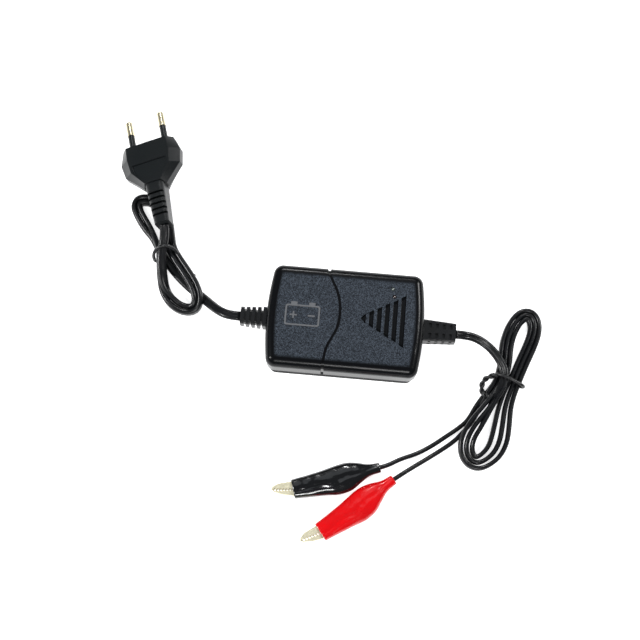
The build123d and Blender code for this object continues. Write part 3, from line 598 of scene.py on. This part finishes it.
def make_ties(finishes):
    ring = round_section(TIE_D)
    thin = round_section(TIE_WIRE_D, 10)
    loop = spline_line([
        (-104.9, 29.6, 4.2), (-105.4, 30.4, 7.2), (-104.2, 32.6, 10.2), (-101.6, 34.6, 12.2),
        (-98.4, 35.6, 12.4), (-95.2, 35.0, 10.6), (-92.6, 33.4, 8.6), (-91.8, 31.4, 5.4),
        (-92.6, 30.0, 2.4), (-95.6, 29.4, 0.85), (-100.2, 29.2, 0.85), (-104.0, 29.2, 1.4),
        (-105.3, 29.4, 3.4), (-105.4, 30.8, 6.2)])
    parts = [tube(loop, ring, [0.0] * len(loop))]
    for wire in twisted_pair([(-93.4, 30.4, 1.6), (-89.8, 27.6, 1.6), (-86.4, 25.0, 1.6),
                              (-83.0, 22.6, 1.6)], 0.65, 5.0):
        parts.append(tube(wire, thin, [0.0] * len(wire)))
    mains_tie = mesh_piece("mains_twist_tie", parts, finishes["tie_plastic"])
    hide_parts("mains_tie")

    loop = spline_line([
        (80.6, -17.7, 3.2), (80.8, -17.8, 6.0), (83.0, -18.3, 8.0), (87.0, -19.5, 8.35),
        (91.2, -21.2, 7.4), (95.0, -22.6, 6.0), (96.0, -22.9, 3.4), (95.2, -22.6, 1.1),
        (91.0, -21.2, 0.72), (86.0, -19.4, 0.72), (81.8, -17.9, 0.9), (80.5, -17.6, 2.6),
        (79.6, -17.8, 5.0)])
    parts = [tube(loop, ring, [0.0] * len(loop))]
    for wire in twisted_pair([(81.8, -18.2, 6.4), (79.6, -18.6, 6.0), (76.8, -19.4, 4.8),
                              (74.6, -21.4, 3.2), (74.0, -24.6, 2.2), (74.6, -27.6, 2.4),
                              (76.6, -29.6, 3.8), (79.0, -29.4, 6.0)], 0.75, 7.0):
        parts.append(tube(wire, thin, [0.0] * len(wire)))
    output_tie = mesh_piece("output_twist_tie", parts, finishes["tie_plastic"])
    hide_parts("dc_tie")
    for tie in (mains_tie, output_tie):
        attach(tie, "charger")
    return mains_tie, output_tie


# ---------------------------------------------------------------- clip boots

BOOT_OUTLINE = [            # u, v of the fixed side, v of the moving side, half height
    (16.0, -4.0, 6.0, 4.5), (8.0, -4.4, 7.0, 4.7), (0.0, -5.1, 8.0, 4.95), (-6.5, -6.0, 9.2, 4.95),
    (-13.0, -6.5, 8.4, 4.9), (-19.5, -4.9, 5.0, 4.1), (-23.5, -3.0, 3.0, 3.0),
    (-29.5, -2.6, 2.6, 2.5),
]
CREASE = [                  # u, v and depth of the fold that the hidden jaws press into the sleeve
    (16, 3.0, 0.3), (12, 2.8, 0.7), (4, 2.5, 0.7), (-1, 2.6, 0.8), (-2.5, 4.1, 0.9),
    (-6, 2.6, 0.7), (-11, 0.4, 0.45), (-16, 1.2, 0.45), (-23, -0.2, 0.3), (-29.5, -1.2, 0.1),
]
BOOT_RINGS = 76
BOOT_AROUND = 72
BOOT_WALL = 0.8
BOOT_LIP = 0.22             # how far the rounded lip stands out of the mouth
BOOT_HOLE_R = 1.25          # the hole for the lead, in the neck
BOOT_HOLE_L = 2.0
MOUTH_U = 16.0


def along(rows, u):
    """Every column of some rows at u, eased over a short stretch so that no ring has a corner."""
    rows = sorted(rows)
    columns = list(zip(*rows))
    spots = [u + d for d in (-2.0, -1.0, 0.0, 1.0, 2.0)]
    return [float(np.mean(np.interp(spots, columns[0], c))) for c in columns[1:]]


def boot_ring(u, shrink, seed):
    low, high, half_h = along(BOOT_OUTLINE, u)
    fold_v, depth = along(CREASE, u)
    middle, half_v = (low + high) / 2, (high - low) / 2 - shrink
    boxy = 2.0 / float(np.interp(u, (-29.5, -20, -8, 16), (2.2, 2.4, 2.7, 3.2)))
    ring = []
    for k in range(BOOT_AROUND):
        a = 2 * pi * k / BOOT_AROUND
        c, s = cos(a), sin(a)
        v = middle + half_v * np.sign(c) * abs(c) ** boxy
        w = (half_h - shrink) * np.sign(s) * abs(s) ** boxy
        fold = depth * np.exp(-((v - fold_v) / 0.55) ** 2)
        belly = 0.35 * np.exp(-((v - fold_v - 2.2) / 1.6) ** 2) * np.exp(-((u + 6) / 8) ** 2)
        w -= np.sign(s) * abs(s) ** 0.5 * (fold - belly)
        ripple = 0.10 * noise.noise(Vector((u * 0.30, v * 0.45, w * 0.3 + seed)))
        ring.append((u, v * (1 + ripple * 0.10), w * (1 + ripple * 0.35)))
    return ring


def make_boot(colour, finishes):
    """A dipped sleeve over the clip, open at its mouth, with its wall's thickness showing there."""
    origin, forward, left = clip_axes(colour)
    seed = {"black": 3.0, "red": 11.0}[colour]
    spots = np.linspace(NECK_U, MOUTH_U, BOOT_RINGS)
    rings = [boot_ring(float(u), 0.0, seed) for u in spots]
    lip = boot_ring(MOUTH_U, BOOT_WALL * 0.4, seed)
    rings.append([(u + BOOT_LIP, v, w) for u, v, w in lip])
    rings += [boot_ring(float(u), BOOT_WALL, seed) for u in spots[:3:-1]]
    for u in (NECK_U + BOOT_HOLE_L, NECK_U):
        rings.append([(u, v, w) for v, w in round_section(2 * BOOT_HOLE_R, BOOT_AROUND)])
    verts = [origin * MM + (forward * u + left * v + Vector((0, 0, w))) * MM
             for ring in rings for u, v, w in ring]
    faces = []
    for r in range(len(rings)):
        here, there = r * BOOT_AROUND, (r + 1) % len(rings) * BOOT_AROUND
        for k in range(BOOT_AROUND):
            n = (k + 1) % BOOT_AROUND
            faces.append((here + k, there + k, there + n, here + n))
    boot = mesh_piece(f"{colour}_clip_boot", [(verts, faces)], finishes[f"boot_{colour}"])
    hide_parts(f"{colour}_boot")
    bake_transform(boot)
    return boot


# ---------------------------------------------------------------- everything together


make_camera()
finishes = make_finishes()
make_stage()
paint_cad_nodes(finishes)
mains_lead, mains_line = make_mains_lead(finishes)
output_lead, output_line, red_core, red_line = make_output_leads(finishes)
mains_tie, output_tie = make_ties(finishes)
boots = {colour: make_boot(colour, finishes) for colour in CLIPS}
